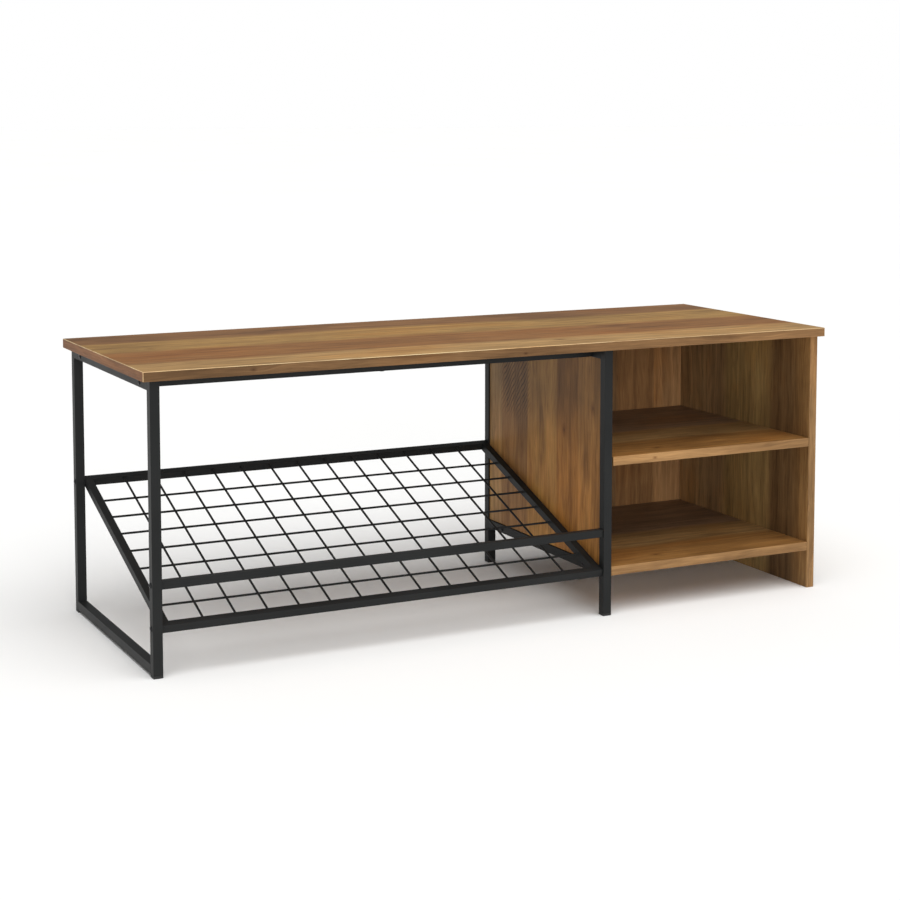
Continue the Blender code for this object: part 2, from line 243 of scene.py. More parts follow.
def printed_grain(tree, tone, place, flow, seed, smoke, pore):
    """The whole print over the planks' tones, with the fine lines and the blotches it used."""
    broad = streaks(tree, flow, GRAIN_STREAK, STRETCH, seed)
    fine = streaks(tree, flow, GRAIN_LINE, STRETCH, seed, detail=4.0, roughness=0.7)
    pores = streaks(tree, flow, PORE_WIDTH, STRETCH, seed, detail=1.0)
    stain = streaks(tree, place, STAIN, 2.2, seed, detail=4.0)
    blotch = streaks(tree, flow, BLOTCH, 6.0, seed, detail=5.0, roughness=0.6)

    colour = spread(tree, tone, broad, (0.33, 0.67), 0.50, BROAD_GREYS)
    colour = spread(tree, colour, fine, (0.36, 0.66), 0.36, FINE_GREYS)
    colour = ink(tree, colour, stain, (0.36, 0.50), (smoke, 0.0), "#8C8276")
    colour = ink(tree, colour, stain, (0.52, 0.68), (0.0, 0.6), "#FFE8C4")
    colour = ink(tree, colour, blotch, (0.30, 0.46), (smoke, 0.0), "#7A6450")
    colour = ink(tree, colour, pores, (0.55, 0.68), (0.0, pore), "#5C4636")
    return colour, fine, blotch


print("a broad streak's greys in linear light:", [round(linear(g)[0], 2) for g in BROAD_GREYS])

# %% [markdown]
# ### Knots and saw marks
#
# A knot is a dark heart in a brown halo, a little longer than wide. The distance from its middle
# gives both, and the fine grain makes them ragged. Saw marks are what a coarse blade leaves
# across a rough plank: slanting dark strokes, a few millimetres apart. A sine makes the strokes
# and the blotches break them up.

# %% Knots and saw marks
KNOT_SHAPE = 0.55  # a knot's width over its length
HALO_BROWN, HEART_BROWN, SAW_BROWN = "#94704C", "#3A2616", "#42342A"
SAW_PITCH = 9 * MM  # from one stroke to the next
SAW_SLANT = 0.8
SAW_STRENGTH = 0.8


def knot(tree, colour, place, fine, spot):
    """A knot at spot = (along, across, radius) in metres."""
    knot_along, knot_across, radius = spot
    middle = (knot_along, knot_across, 0)
    apart = add(tree, "VectorMath", {0: place, 1: middle}, operation="SUBTRACT")
    squeeze = {0: apart, 1: (KNOT_SHAPE, 1, 0)}
    squeezed = add(tree, "VectorMath", squeeze, operation="MULTIPLY")
    far = add(tree, "VectorMath", {0: squeezed}, out="Value", operation="LENGTH")
    rough = add(tree, "Math", {0: fine, 1: radius}, operation="MULTIPLY")
    ragged = add(tree, "Math", {0: far, 1: rough}, operation="ADD")
    colour = ink(tree, colour, ragged, (radius * 0.9, radius * 3.4), (0.55, 0.0), HALO_BROWN)
    heart = (radius * 0.5, radius * 1.3)
    return ink(tree, colour, ragged, heart, (0.7, 0.0), HEART_BROWN, blend="MIX")


def fade(tree, value, middle, length):
    """1 within a stretch of a direction, falling to 0 at its ends."""
    apart = add(tree, "Math", {0: value, 1: middle}, operation="SUBTRACT")
    away = add(tree, "Math", {0: apart}, operation="ABSOLUTE")
    inputs = {"Value": away, LOW: length * 0.3, HIGH: length * 0.5, TO_LOW: 1.0, TO_HIGH: 0.0}
    return add(tree, "MapRange", inputs)


def saw_marks(tree, colour, axes, bend, blotch, patch):
    """Saw marks on patch = (along, across, length, width) in metres."""
    lengthwise, crosswise = axes
    saw_along, saw_across, length, width = patch
    leaning = add(tree, "Math", {0: lengthwise, 1: SAW_SLANT}, operation="MULTIPLY")
    bent = add(tree, "Math", {0: crosswise, 1: bend}, operation="ADD")
    slant = add(tree, "Math", {0: leaning, 1: bent}, operation="ADD")
    turn = add(tree, "Math", {0: slant, 1: math.tau / SAW_PITCH}, operation="MULTIPLY")
    tooth = add(tree, "Math", {0: turn}, operation="SINE")
    marks = add(tree, "MapRange", {"Value": tooth, LOW: 0.3, HIGH: 0.95})
    broken = add(tree, "MapRange", {"Value": blotch, LOW: 0.36, HIGH: 0.48})
    down = fade(tree, lengthwise, saw_along, length)
    side = fade(tree, crosswise, saw_across, width)
    for share in (broken, down, side, SAW_STRENGTH):
        marks = add(tree, "Math", {0: marks, 1: share}, operation="MULTIPLY")
    layers = {FACTOR: marks, UNDER: colour, OVER: linear(SAW_BROWN)}
    return add(tree, "Mix", layers, out=BLENDED, data_type="RGBA", blend_type="MULTIPLY")


print("saw strokes are", round(SAW_PITCH / MM), "mm apart")

# %% [markdown]
# ### The finished laminate
#
# One function puts the layers together. The resin on top gives an IOR of 1.5, a roughness of
# 0.44 to 0.52 that changes a little with the grain, and a very faint relief. Its specular level is
# low, because the paper's fine texture scatters most of the shine.

# %% The finished laminate
EDGE_WAVE = 90 * MM  # width of a bend in a plank's edge
GRAIN_WAVE = 45 * MM  # width of a bend in the grain
GRAIN_SWAY = 30 * MM  # how far the grain bends
LAMINATE_IOR = 1.5
LAMINATE_SPECULAR = 0.15
LAMINATE_RELIEF = 0.2 * MM


def painted_light_tint(tree, tone, place, ends):
    """The tone, taking on a lighter tint of painted light between two places, ends = (from, to, hex
    colour).
    """
    start, stop, tint = ends
    full = {FACTOR: 1.0, UNDER: tone, OVER: linear(tint)}
    painted_light_tone = add(tree, "Mix", full, out=BLENDED, data_type="RGBA", blend_type="OVERLAY")
    drawn = add(tree, "MapRange", {"Value": place, LOW: start, HIGH: stop})
    layers = {FACTOR: drawn, UNDER: tone, OVER: painted_light_tone}
    return add(tree, "Mix", layers, out=BLENDED, data_type="RGBA", blend_type="MIX")


def resin_top(tree, shader, colour, fine):
    """The clear resin over the print, a little uneven along the fine lines of the grain."""
    tree.links.new(colour, shader.inputs["Base Color"])
    levels = {LOW: 0.3, HIGH: 0.7, TO_LOW: 0.52, TO_HIGH: 0.44}
    gloss = add(tree, "MapRange", {"Value": fine, **levels})
    tree.links.new(gloss, shader.inputs["Roughness"])
    shader.inputs["IOR"].default_value = LAMINATE_IOR
    shader.inputs["Specular IOR Level"].default_value = LAMINATE_SPECULAR
    relief = add(tree, "Bump", {"Height": fine, "Strength": 0.12, "Distance": LAMINATE_RELIEF})
    tree.links.new(relief, shader.inputs["Normal"])


def oak_laminate(
    name, along, across, planks, span, shift,
    knots=(), saw=None, blur=0.006, waver=4 * MM, smoke=0.35, pore=0.3, ends=None,
):
    """A board's printed oak face.

    planks are (share of the width, hex colour) pairs across the grain, span is the (low, high)
    of the board across the grain in metres, knots are (along, across, radius) in metres, and saw
    is the (along, across, length, width) of a patch of saw marks. blur is the softness of a
    plank's edge as a share of the width, waver is how far the edge wanders in metres, smoke is
    the strength of the dark stains and pore that of the pores. ends is (from, to, hex colour):
    painted light, the planks take on that lighter tint along the grain between two places in
    metres.
    """
    material, tree, shader = new_material(name)
    place, moved = grain_axes(tree, along, across, shift)
    lengthwise, crosswise = add(tree, "SeparateXYZ", {0: place}).node.outputs[:2]

    drift = sway(tree, streaks(tree, moved, EDGE_WAVE, 5.0, 3.0), waver * 4)
    edge_place = add(tree, "Math", {0: crosswise, 1: drift}, operation="ADD")
    share = add(tree, "MapRange", {"Value": edge_place, LOW: span[0], HIGH: span[1]})
    tone = plank_tones(tree, share, planks, blur)
    seed = plank_seeds(tree, share, planks, blur)
    # painted light: the planks lighten between two places along the grain
    if ends:
        end_place = add(tree, "Math", {0: lengthwise, 1: drift}, operation="ADD")
        tone = painted_light_tint(tree, tone, end_place, ends)

    bend = sway(tree, streaks(tree, moved, GRAIN_WAVE, 4.0, seed, detail=2.0), GRAIN_SWAY)
    sideways = add(tree, "CombineXYZ", {1: bend})
    flow = add(tree, "VectorMath", {0: moved, 1: sideways}, operation="ADD")

    colour, fine, blotch = printed_grain(tree, tone, moved, flow, seed, smoke, pore)
    for spot in knots:
        colour = knot(tree, colour, place, fine, spot)
    if saw:
        colour = saw_marks(tree, colour, (lengthwise, crosswise), bend, blotch, saw)
    resin_top(tree, shader, colour, fine)
    return material


print("the grain bends by up to", round(GRAIN_SWAY / 2 / MM), "mm to either side")

# %% [markdown]
# ## Powder coat
#
# The steel is powder coated: the powder melts into a thick, even film with a very fine
# orange-peel texture. It gives a broad, soft highlight, with a roughness of 0.42 to 0.50. The
# film is a little thicker in some places than in others, so both the tone and the roughness
# drift slowly. A single grey would do from far away, but it looks like paper from near by.

# %% Powder coat
PEEL = 1.4 * MM  # an orange-peel bump; real ones are under a millimetre and would not show
PEEL_HEIGHT = 0.1 * MM
FILM_CLOUDS = 9.0  # thick and thin places of the film, per metre
COAT_SPECULAR = 0.14


def powder_coat():
    material, tree, shader = new_material("satin_black_powder_coat")
    place = add(tree, "TexCoord", out="Object")
    peel = add(tree, "TexNoise", {"Vector": place, "Scale": 1 / PEEL, "Detail": 2.0})
    cloud = add(tree, "TexNoise", {"Vector": place, "Scale": FILM_CLOUDS, "Detail": 3.0})
    colour = add(tree, "ValToRGB", {"Fac": cloud}, stops=((0.3, "#1D1E1E"), (0.7, "#232424")))
    tree.links.new(colour, shader.inputs["Base Color"])
    levels = {LOW: 0.3, HIGH: 0.7, TO_LOW: 0.42, TO_HIGH: 0.50}
    gloss = add(tree, "MapRange", {"Value": cloud, **levels})
    tree.links.new(gloss, shader.inputs["Roughness"])
    shader.inputs["IOR"].default_value = 1.5
    shader.inputs["Specular IOR Level"].default_value = COAT_SPECULAR
    relief = add(tree, "Bump", {"Height": peel, "Strength": 0.15, "Distance": PEEL_HEIGHT})
    tree.links.new(relief, shader.inputs["Normal"])
    return material


coat = powder_coat()
print("coating:", coat.name)

# %% [markdown]
# ## Plastic and black oxide
#
# The foot caps are moulded polypropylene: a dull black, with a fine spark texture from the mould.
# The bolts have a thin black oxide on bare steel. The oxide doesn't hide the metal, so they are
# metallic and dark, and glossier than the powder coat.

# %% Plastic and black oxide
SPARKS = 900.0  # per metre, as a mould's spark texture is about a millimetre from peak to peak
OXIDE_PATCHES = 600.0  # per metre


def moulded_plastic():
    material, tree, shader = new_material("moulded_black_polypropylene")
    place = add(tree, "TexCoord", out="Object")
    spark = add(tree, "TexNoise", {"Vector": place, "Scale": SPARKS, "Detail": 2.0})
    colour = add(tree, "ValToRGB", {"Fac": spark}, stops=((0.3, "#141414"), (0.7, "#1A1A1A")))
    tree.links.new(colour, shader.inputs["Base Color"])
    levels = {LOW: 0.3, HIGH: 0.7, TO_LOW: 0.55, TO_HIGH: 0.65}
    gloss = add(tree, "MapRange", {"Value": spark, **levels})
    tree.links.new(gloss, shader.inputs["Roughness"])
    shader.inputs["IOR"].default_value = 1.49
    return material


def black_oxide():
    material, tree, shader = new_material("black_oxide_steel")
    place = add(tree, "TexCoord", out="Object")
    patch = add(tree, "TexNoise", {"Vector": place, "Scale": OXIDE_PATCHES, "Detail": 3.0})
    colour = add(tree, "ValToRGB", {"Fac": patch}, stops=((0.3, "#2A2A2C"), (0.7, "#3A3A3D")))
    tree.links.new(colour, shader.inputs["Base Color"])
    levels = {LOW: 0.3, HIGH: 0.7, TO_LOW: 0.32, TO_HIGH: 0.45}
    gloss = add(tree, "MapRange", {"Value": patch, **levels})
    tree.links.new(gloss, shader.inputs["Roughness"])
    shader.inputs["Metallic"].default_value = 1.0
    return material


plastic = moulded_plastic()
oxide = black_oxide()
print("finishes:", plastic.name, oxide.name)

# %% [markdown]
# ## Measuring the frame
#
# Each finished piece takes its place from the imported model, so nothing has to be fitted by eye.
# Most pieces lie square to the axes. The rack is tilted, so its pieces are measured in a frame
# that is turned with it: the tilt is read from a cross wire, which runs straight up the slope.

# %% Measuring tools
ROOT = "root"


def corners_of(node):
    return [vertex.co.copy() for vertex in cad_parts[node].data.vertices]


def wire_direction(node):
    """The direction of a straight rod, from the middles of its two ends."""
    points = corners_of(node)
    middle = sum(points, Vector()) / len(points)
    ends = [[p for p in points if p.y < middle.y], [p for p in points if p.y >= middle.y]]
    start, end = (sum(group, Vector()) / len(group) for group in ends)
    return (end - start).normalized()


slope = wire_direction("rack_cross_wire_01")
tilt = math.atan2(slope.z, slope.y)
RACK_TURN = Matrix.Rotation(tilt, 4, "X")
LEVEL = Matrix.Identity(4)
print("the rack is tilted", round(math.degrees(tilt), 2), "degrees")


def box_in(node, turn):
    """A node's lowest and highest corners in a frame turned about the world's origin."""
    points = [turn.inverted() @ point for point in corners_of(node)]
    low = Vector([min(p[i] for p in points) for i in range(3)])
    high = Vector([max(p[i] for p in points) for i in range(3)])
    return low, high


def stand_in(name, shape, node, materials):
    """Makes the finished piece of a CAD node from a bmesh, in the node's place, on the root body,
    with these materials, and hides the CAD node.
    """
    mesh = bpy.data.meshes.new(name)
    shape.to_mesh(mesh)
    shape.free()
    for material in materials:
        mesh.materials.append(material)
    piece = bpy.data.objects.new(name, mesh)
    bpy.context.scene.collection.objects.link(piece)
    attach(piece, ROOT)
    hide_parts(node)
    return piece


# %% [markdown]
# ## Boards
#
# A board has two broad printed faces, and its narrow sides are covered with a glued edge band.
# The band is trimmed with a small cutter, which leaves a rounded arris. Round the top of the
# seat the cut shows as a thin line, lighter than both faces: partly the real cut line, partly a
# painted highlight where the arris catches the light from above. A box with bevelled edges gives
# all of them, and each kind of face gets its own material. A Bevel modifier would round the
# edges too, but here the faces are sorted by direction, so the bevel is made in the mesh.

# %% Board builder
ARRIS = 0.7 * MM
ARRIS_STEPS = 3
FLAT = 0.9999  # a face is flat to an axis when its normal is this close to it
BOARD_FACE, BAND, ARRIS_BAND, END_BAND = 0, 1, 2, 3


def kind_of(face, thin):
    """Which finish a face takes. thin is the axis of the board's thickness."""
    flat = [i for i in range(3) if abs(face.normal[i]) > FLAT]
    # the upper arrises; on the seat they take the light cut line with its painted highlight
    if not flat and face.normal.z > -0.01:
        return ARRIS_BAND
    if flat and flat[0] == thin:
        return BOARD_FACE
    return END_BAND if abs(face.normal.x) > abs(face.normal.y) else BAND


def board(node, finishes):
    """A board with rounded arrises. finishes are for its faces, bands, upper arrises and ends."""
    low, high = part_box(node)
    size = high - low
    thin = min(range(3), key=lambda i: size[i])
    shape = bmesh.new()
    bmesh.ops.create_cube(shape, size=1.0)
    for corner in shape.verts:
        corner.co = Vector(low[i] + (corner.co[i] + 0.5) * size[i] for i in range(3))
    bmesh.ops.bevel(
        shape,
        geom=shape.edges[:],
        offset=ARRIS,
        segments=ARRIS_STEPS,
        profile=0.5,
        affect="EDGES",
    )
    for face in shape.faces:
        face.material_index = kind_of(face, thin)
        face.smooth = max(abs(turn) for turn in face.normal) <= FLAT
    return stand_in(node + "_board", shape, node, finishes)


def span_of(node, axis):
    """From where to where a node goes along an axis."""
    low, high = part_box(node)
    i = "XYZ".index(axis)
    return low[i], high[i]


print("the seat goes from", *(round(y, 3) for y in span_of("top_panel", "Y")), "m in depth")

# %% [markdown]
# ### Seat
#
# The planks run along the bench: light tan at the front, then reddish brown, tan and brown at the
# back. They blend softly into each other. The first plank in a list is the front one, or on the
# back panel the left one.

# %% Seat finish
seat_face = oak_laminate(
    "oak_laminate_seat",
    "X",
    "Y",
    ((0.20, "#AF8D5C"), (0.30, "#8F6539"), (0.27, "#A4824D"), (0.23, "#84603C")),
    span_of("top_panel", "Y"),
    (0.37, 0.11, 0.0),
    knots=((0.12, -0.155, 3 * MM), (-0.52, 0.03, 2.5 * MM)),
    blur=0.03,
    waver=12 * MM,
)
print(seat_face.name)

# %% [markdown]
# ### Upright boards
#
# On the upright boards the planks stand. The divider shows crisp planks, painted lighter
# towards the floor as painted light, with saw marks on the grey-brown one. The cubby's side and
# back are in shade, so their print is drawn a little lighter than it looks in the cubby.

# %% Upright finishes
divider_face = oak_laminate(
    "oak_laminate_divider",
    "Z",
    "Y",
    ((0.19, "#876438"), (0.18, "#825D30"), (0.26, "#937141"), (0.25, "#775A38"), (0.12, "#8A704C")),
    span_of("divider_panel", "Y"),
    (0.0, 0.53, 0.2),
    knots=((0.29, -0.075, 3 * MM), (0.34, -0.17, 3 * MM)),
    saw=(0.37, 0.10, 0.18, 0.12),
    smoke=0.4,
    # painted light: the divider's planks are painted lighter towards the floor
    ends=(0.35, 0.21, "#FFF6E6"),
)
panel_face = oak_laminate(
    "oak_laminate_side",
    "Z",
    "Y",
    ((0.09, "#94734A"), (0.19, "#806646"), (0.32, "#B49A68"), (0.14, "#B0936C"), (0.26, "#BA9E74")),
    span_of("right_panel", "Y"),
    (0.2, 1.3, 0.5),
    knots=((0.03, -0.05, 3 * MM),),
    blur=0.03,
    smoke=0.3,
)
back_face = oak_laminate(
    "oak_laminate_back",
    "Z",
    "X",
    ((0.38, "#927348"), (0.26, "#886A4A"), (0.20, "#946F49"), (0.16, "#A68058")),
    span_of("back_panel", "X"),
    (0.6, 0.4, 0.1),
    smoke=0.3,
)
print(divider_face.name, panel_face.name, back_face.name)

# %% [markdown]
# ### Shelves and edge bands
#
# The shelves' planks run along the bench again. An edge band is a narrow strip of the same print,
# with one plank, small knots and fainter pores. It runs along the edge that it covers, so the
# seat's ends need a band of their own.

# %% Shelf finish and edge bands
shelf_face = oak_laminate(
    "oak_laminate_shelf",
    "X",
    "Y",
    ((0.26, "#926B3D"), (0.22, "#9E8056"), (0.52, "#8E7660")),
    span_of("middle_shelf", "Y"),
    (0.9, 0.2, 0.4),
    knots=((0.30, -0.17, 3 * MM),),
    blur=0.02,
    waver=8 * MM,
)
seat_edge = oak_laminate(
    "oak_edge_band_seat",
    "X",
    "Z",
    ((1.0, "#684F35"),),
    span_of("top_panel", "Z"),
    (0.1, 0.7, 0.3),
    knots=((-0.44, 0.450, 1.4 * MM), (0.02, 0.447, 1.1 * MM)),
    pore=0.15,
    # painted light: the seat's front band is painted lighter towards its right end
    ends=(-0.45, 0.45, "#F4F4F0"),
)
seat_end = oak_laminate(
    "oak_edge_band_end",
    "Y",
    "Z",
    ((1.0, "#895B30"),),
    span_of("top_panel", "Z"),
    (0.5, 0.2, 0.8),
    pore=0.15,
)
shelf_edge = oak_laminate(
    "oak_edge_band_shelf",
    "X",
    "Z",
    ((1.0, "#9C7A52"),),
    span_of("middle_shelf", "Z"),
    (0.3, 0.9, 0.6),
    knots=((0.27, 0.257, 1.2 * MM),),
    pore=0.15,
)
upright_edge = oak_laminate(
    "oak_edge_band_upright",
    "Z",
    "Y",
    ((1.0, "#8C6E4A"),),
    span_of("right_panel", "Y"),
    (0.8, 0.1, 0.2),
)
# the seat's upper arris: a light cut line and a painted highlight on the rounded edge
seat_arris_line_and_highlight = oak_laminate(
    "oak_band_arris_line_and_highlight",
    "X",
    "Z",
    ((1.0, "#E0C8A0"),),
    span_of("top_panel", "Z"),
    (0.8, 0.4, 0.9),
)
print(seat_edge.name, seat_end.name, shelf_edge.name, upright_edge.name, seat_arris_line_and_highlight.name)

# %% [markdown]
# ### Making the boards
#
# Each board now gets its four finishes. Only the seat's upper arris has the light line: a cut line
# with a painted highlight.

# %% The six boards
board_finishes = {
    "top_panel": (seat_face, seat_edge, seat_arris_line_and_highlight, seat_end),
    "divider_panel": (divider_face, upright_edge, upright_edge, upright_edge),
    "right_panel": (panel_face, upright_edge, upright_edge, upright_edge),
    "back_panel": (back_face, upright_edge, upright_edge, upright_edge),
    "middle_shelf": (shelf_face, shelf_edge, shelf_edge, shelf_edge),
    "bottom_shelf": (shelf_face, shelf_edge, shelf_edge, shelf_edge),
}
for node, finishes in board_finishes.items():
    board(node, finishes)
print(len(board_finishes), "boards")

# %% [markdown]
# ## Square tube
#
# Square tube is rolled from strip, so its edges are never quite sharp. A profile of four small
# rounded corners is drawn along the tube, outside and then back inside, which leaves the ends
# open as on the real piece. A curve with a bevel profile would be quicker, but has no wall. The
# faces stay flat and only the corners are smooth, so the normals are weighted by face area.

# %% Profiles and surfaces
CORNER = 0.6 * MM
CORNER_STEPS = 4


def rounded_square(half, radius):
    """Points of a square outline with rounded corners, anticlockwise."""
    ring = []
    for quarter in range(4):
        middle = Matrix.Rotation(quarter * math.tau / 4, 2) @ Vector((half - radius, half - radius))
        for step in range(CORNER_STEPS + 1):
            turn = (quarter + step / CORNER_STEPS) * math.tau / 4
            ring.append(middle + radius * Vector((math.cos(turn), math.sin(turn))))
    return ring


def loft(rings, closed):
    """A surface through rings of equally many points. Not closed, its two ends are filled."""
    shape = bmesh.new()
    made = [[shape.verts.new(point) for point in ring] for ring in rings]
    count = len(rings[0])
    pairs = list(zip(made, made[1:] + made[:1])) if closed else list(zip(made, made[1:]))
    for here, there in pairs:
        for k in range(count):
            after = (k + 1) % count
            shape.faces.new((here[k], here[after], there[after], there[k]))
    if not closed:
        shape.faces.new(made[0])
        shape.faces.new(made[-1])
    bmesh.ops.recalc_face_normals(shape, faces=shape.faces)
    return shape


def point_on(axis, centre, across, distance):
    """A point at a distance along an axis, and at across = (a, b) on the two other axes."""
    a, b = across
    offset = {0: (distance, a, b), 1: (a, distance, b), 2: (a, b, distance)}[axis]
    return Vector(centre) + Vector(offset)


print("points round a tube:", len(rounded_square(0.01, CORNER)))

# %% [markdown]
# ### Tube ends
#
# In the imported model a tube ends 0.3 mm short of the tube that it is welded to. On the real bench
# the weld fills this gap, so such an end grows by the width of it. The legs and the rack's rails
# keep their length. The rails meet in mitred corners, so every point of their ends is moved along
# the tube by as much as it lies across it.

# %% Tube builder
FRAME_WALL, RACK_WALL = 1.2 * MM, 1.0 * MM
SEAM = 0.3 * MM  # the gap between two touching pieces, which a weld fills
NO_GROWTH = (0, 0)


def shade(piece, angle):
    """Smooth shading, apart from edges sharper than an angle in degrees."""
    piece.data.shade_smooth()
    piece.data.set_sharp_from_angle(angle=math.radians(angle))
    return piece


def flatten(piece):
    """Keeps the large faces of a smooth piece looking flat."""
    weighted = piece.modifiers.new("flat_faces", "WEIGHTED_NORMAL")
    weighted.keep_sharp = True
    return piece


def long_axis(low, high):
    """The longest axis of a box, its widths on the others, and its middle with 0 along it."""
    size = high - low
    axis = max(range(3), key=lambda i: size[i])
    centre = (low + high) / 2
    centre[axis] = 0
    return axis, [size[i] for i in range(3) if i != axis], centre


def tube(node, wall, turn=LEVEL, mitre=0, grow=(SEAM, SEAM)):
    """A square tube in place of a CAD one. mitre 1 or -1 cuts the ends at 45 degrees."""
    low, high = box_in(node, turn)
    axis, widths, centre = long_axis(low, high)
    half = widths[0] / 2
    start, end = low[axis] - grow[0], high[axis] + grow[1]
    outer = rounded_square(half, CORNER)
    inner = rounded_square(half - wall, CORNER / 3)
    rings = []
    for ring, at_end in ((outer, False), (outer, True), (inner, True), (inner, False)):
        points = []
        for across in ring:
            lean = abs(mitre) * half + mitre * across[0]
            distance = end - lean if at_end else start + lean
            points.append(turn @ point_on(axis, centre, across, distance))
        rings.append(points)
    shape = loft(rings, closed=True)
    piece = stand_in(node + "_tube", shape, node, (coat,))
    return flatten(shade(piece, 35))


print("a weld seam is", round(SEAM / MM, 1), "mm wide")

# %% Frames, top rails and stop bar
for side in ("left", "middle"):
    for end in ("front", "rear"):
        tube(f"{side}_{end}_leg", FRAME_WALL, grow=NO_GROWTH)
    tube(side + "_top_rail", FRAME_WALL)
tube("left_bottom_rail", FRAME_WALL)
tube("middle_lower_rail", FRAME_WALL)
for rail in ("front_top_rail", "rear_top_rail"):
    tube(rail, FRAME_WALL)
tube("stop_bar", RACK_WALL)

# %% Rack rails
for name, mitre in (("front", 1), ("rear", -1), ("left", 1), ("right", -1)):
    tube(f"rack_{name}_rail", RACK_WALL, RACK_TURN, mitre, grow=NO_GROWTH)

# %% [markdown]
# ## Wire mesh
#
# The mesh is drawn steel wire, 3.6 mm thick, spot welded where the wires cross and butt welded to
# the rails. A weld leaves a small collar at each end of a wire, so the rod widens over its last
# millimetres. Sixteen sides are enough for a wire this thin.

# %% Wires
WIRE_SIDES = 16
COLLAR_REACH = 2.2 * MM
COLLAR_SWELL = 0.7 * MM
COLLAR_STEPS = 5


def collar(start, radius):
    """(place, radius) pairs along the collar at the start of a wire, wide end first."""
    stations = []
    for step in range(COLLAR_STEPS + 1):
        share = step / COLLAR_STEPS
        swell = COLLAR_SWELL * (1 + math.cos(math.pi * share)) / 2
        stations.append((start - SEAM + share * COLLAR_REACH, radius + swell))
    return stations


def wire(node):
    """A straight wire whose ends swell into weld collars."""
    low, high = box_in(node, RACK_TURN)
    axis, widths, centre = long_axis(low, high)
    near = collar(low[axis], widths[1] / 2)
    far = [(high[axis] + low[axis] - place, reach) for place, reach in reversed(near)]
    turns = [k * math.tau / WIRE_SIDES for k in range(WIRE_SIDES)]
    rings = []
    for place, reach in near + far:
        circle = [(reach * math.cos(t), reach * math.sin(t)) for t in turns]
        rings.append([RACK_TURN @ point_on(axis, centre, across, place) for across in circle])
    shape = loft(rings, closed=False)
    piece = stand_in(node + "_rod", shape, node, (coat,))
    return shade(piece, 50)


wires = [wire(node) for node in nodes if "_wire_" in node]
print(len(wires), "wires")

# %% [markdown]
# ## Bolts
#
# The bolts are low button heads with a hexagon socket. They are turned pieces, so an outline is
# spun about the bolt's axis. For the socket the last two rings are hexagons instead of circles.

# %% Bolts
BOLT_SIDES = 36
SOCKET = 2.0 * MM
SOCKET_DEPTH = 1.1 * MM
SHANK = 0.54  # the shank's width, as a share of the head's
LEAD_IN = 0.6 * MM  # the chamfer at the shank's end
HEAD = ((1.0, 0.0), (1.0, 0.35), (0.93, 0.66), (0.78, 0.90))  # shares of its radius and height
HEAD_FLAT = 0.60  # the flat top's width, as a share of the head's


def hexagon_reach(turn, radius):
    """Distance from the middle to a hexagon's side, in a direction."""
    sixth = math.tau / 6
    return radius * math.cos(sixth / 2) / math.cos(turn % sixth - sixth / 2)


def head_of(node, axis, centre, wide):
    """Where a bolt's head is: its side along the axis, and how far its underside is out."""
    rim = []
    for point in corners_of(node):
        apart = point - centre
        along = apart[axis]
        apart[axis] = 0
        if apart.length > wide * 0.9:
            rim.append(along)
    return (1 if sum(rim) > 0 else -1), min(abs(along) for along in rim)


def bolt(node):
    """A button-head bolt in place of a CAD one."""
    low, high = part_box(node)
    size = high - low
    axis = max(range(3), key=lambda i: size[i])
    centre = (low + high) / 2
    wide = max(size[i] for i in range(3) if i != axis) / 2
    side, seat = head_of(node, axis, centre, wide)
    shank, top = SHANK * wide, size[axis] / 2
    outline = [(shank * 0.8, -top), (shank, LEAD_IN - top), (shank, seat)]
    outline += [(wide * out, seat + (top - seat) * up) for out, up in HEAD]
    outline += [(wide * HEAD_FLAT, top), (0, top), (0, top - SOCKET_DEPTH)]
    rings = []
    for reach, distance in outline:
        points = []
        for k in range(BOLT_SIDES):
            turn = k * math.tau / BOLT_SIDES
            out = reach or hexagon_reach(turn, SOCKET)
            across = (out * math.cos(turn), out * math.sin(turn))
            points.append(point_on(axis, centre, across, side * distance))
        rings.append(points)
    shape = loft(rings, closed=False)
    piece = stand_in(node + "_turned", shape, node, (oxide,))
    return shade(piece, 40)


bolts = [bolt(node) for node in nodes if node.endswith(("_bolt", "_screw"))]
print(len(bolts), "bolts and screws")

# %% [markdown]
# ## Foot caps
#
# A foot cap is a moulded plug: a flange as wide as the leg, and above it a narrower plug that
# holds it inside the tube. A moulded piece has a small radius on every edge, so the outline has a
# short slope at each of them.

# %% Foot caps
CAP_EDGE = 0.6 * MM
CAP_CORNER = CORNER * 0.8
TOUCH = 0.01 * MM  # two places closer than this are the same


def foot_cap(node):
    """A moulded cap in place of a CAD one."""
    low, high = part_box(node)
    points = corners_of(node)
    half = (high.x - low.x) / 2
    plug = max(abs(p.x - (low.x + half)) for p in points if p.z > high.z - TOUCH)
    flange_top = max(p.z for p in points if abs(p.x - low.x) < TOUCH)
    centre = (low.x + half, low.y + half, 0)
    outline = (
        (half - CAP_EDGE, low.z),
        (half - CAP_EDGE * 0.3, low.z + CAP_EDGE * 0.3),
        (half, low.z + CAP_EDGE),
        (half, flange_top - CAP_EDGE / 2),
        (half - CAP_EDGE / 2, flange_top),
        (plug, flange_top),
        (plug, high.z - CAP_EDGE),
        (plug - CAP_EDGE, high.z),
    )
    rings = [
        [point_on(2, centre, across, z) for across in rounded_square(reach, CAP_CORNER)]
        for reach, z in outline
    ]
    shape = loft(rings, closed=False)
    piece = stand_in(node + "_cap", shape, node, (plastic,))
    return flatten(shade(piece, 35))


caps = [foot_cap(node) for node in nodes if node.endswith("_foot")]
print(len(caps), "foot caps")

# %% [markdown]
# ## Floor and surround
#
# The bench stands on a plain pale floor that runs into a white surround, as in a studio cove. The
# surround looks white, but lights the bench with less than that: full white from all sides would
# wash out the wood and grey the steel.

# %% Floor and surround
FLOOR_SIZE = 60.0  # metres from the middle to a side, so that the floor ends at the horizon
FLOOR_CLOUDS = 0.8  # faint clouds in its tone, per metre
SURROUND_LIGHT = 0.30


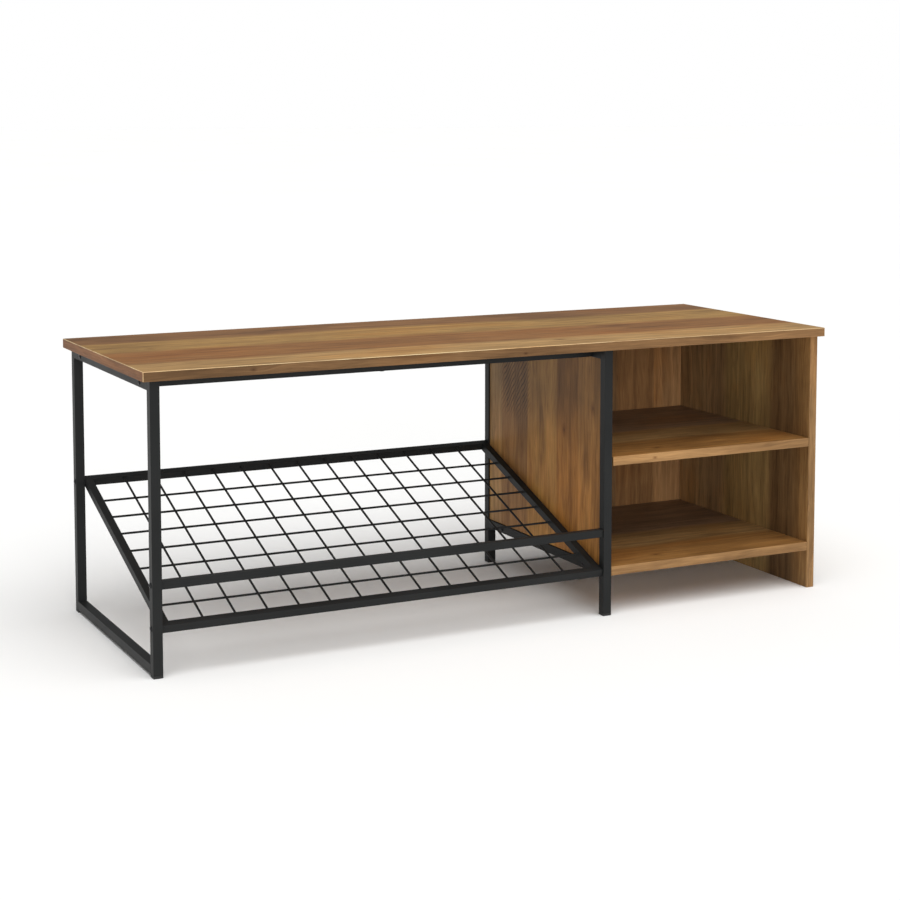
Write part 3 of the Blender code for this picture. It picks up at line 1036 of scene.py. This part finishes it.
def pale_floor():
    material, tree, shader = new_material("pale_studio_floor")
    place = add(tree, "TexCoord", out="Object")
    cloud = add(tree, "TexNoise", {"Vector": place, "Scale": FLOOR_CLOUDS, "Detail": 2.0})
    colour = add(tree, "ValToRGB", {"Fac": cloud}, stops=((0.3, "#FBFBFA"), (0.7, "#FDFDFC")))
    tree.links.new(colour, shader.inputs["Base Color"])
    shader.inputs["Roughness"].default_value = 0.8
    return material


floor_mesh = bpy.data.meshes.new("studio_floor")
floor_shape = bmesh.new()
bmesh.ops.create_grid(floor_shape, x_segments=1, y_segments=1, size=FLOOR_SIZE)
floor_shape.to_mesh(floor_mesh)
floor_shape.free()
floor_mesh.materials.append(pale_floor())
floor = bpy.data.objects.new("studio_floor", floor_mesh)
bpy.context.scene.collection.objects.link(floor)

world = bpy.data.worlds.new("white_surround")
world.use_nodes = True
sky = world.node_tree
surround = sky.nodes["Background"]
seen = add(sky, "LightPath", out="Is Camera Ray")
strength = add(sky, "MapRange", {"Value": seen, TO_LOW: SURROUND_LIGHT, TO_HIGH: 1.0})
sky.links.new(strength, surround.inputs["Strength"])
surround.inputs["Color"].default_value = (1.0, 1.0, 1.0, 1.0)
bpy.context.scene.world = world
bpy.context.scene.view_settings.view_transform = "Standard"
print("floor and surround ready")

# %% [markdown]
# ## Lights
#
# A very large softbox hangs high in front of the bench and lights the seat and the floor. A
# weaker one stands low in front, a little to the left, and lights the cubby and the divider.
# An area light would make the floor brighter near it, so each softbox is a sun lamp with a wide
# angle: its light is as soft, and even over the whole floor.


# %% Lights
def far_softbox(name, azimuth, elevation, width, power):
    """A soft light far away. azimuth is counted from the front towards the left, in degrees."""
    data = bpy.data.lights.new(name, "SUN")
    data.angle = math.radians(width)
    data.energy = power
    turn, lift = math.radians(azimuth), math.radians(elevation)
    towards = Vector((-math.sin(turn), -math.cos(turn), math.tan(lift)))
    light = bpy.data.objects.new(name, data)
    light.rotation_euler = towards.to_track_quat("Z", "Y").to_euler()
    bpy.context.scene.collection.objects.link(light)
    print(name, "lights with", power)


far_softbox("overhead_softbox", azimuth=5, elevation=65, width=70, power=2.6)
far_softbox("front_softbox", azimuth=12, elevation=9, width=25, power=0.9)

# %% [markdown]
# ## Camera
#
# The camera looks from the front left with a long lens, from a little above the seat. A long
# lens keeps the far end of the bench nearly as tall as the near one. The lens is shifted a
# little, so that the camera need not look down as far and the legs stay nearly upright.

# %% Camera
CAMERA_PLACE = (-1.4135, -2.8196, 0.8407)
CAMERA_YAW = 0.46311  # radians to the right of straight ahead
CAMERA_PITCH = 0.08759  # radians down
CAMERA_LENS = 75.24
CAMERA_SHIFT = -0.20

camera_data = bpy.data.cameras.new("front_left")
camera_data.lens = CAMERA_LENS
camera_data.shift_y = CAMERA_SHIFT
camera = bpy.data.objects.new("front_left", camera_data)
camera.location = CAMERA_PLACE
camera.rotation_euler = (math.radians(90) - CAMERA_PITCH, 0, -CAMERA_YAW)
bpy.context.scene.collection.objects.link(camera)
bpy.context.scene.camera = camera
print("camera at", CAMERA_PLACE)
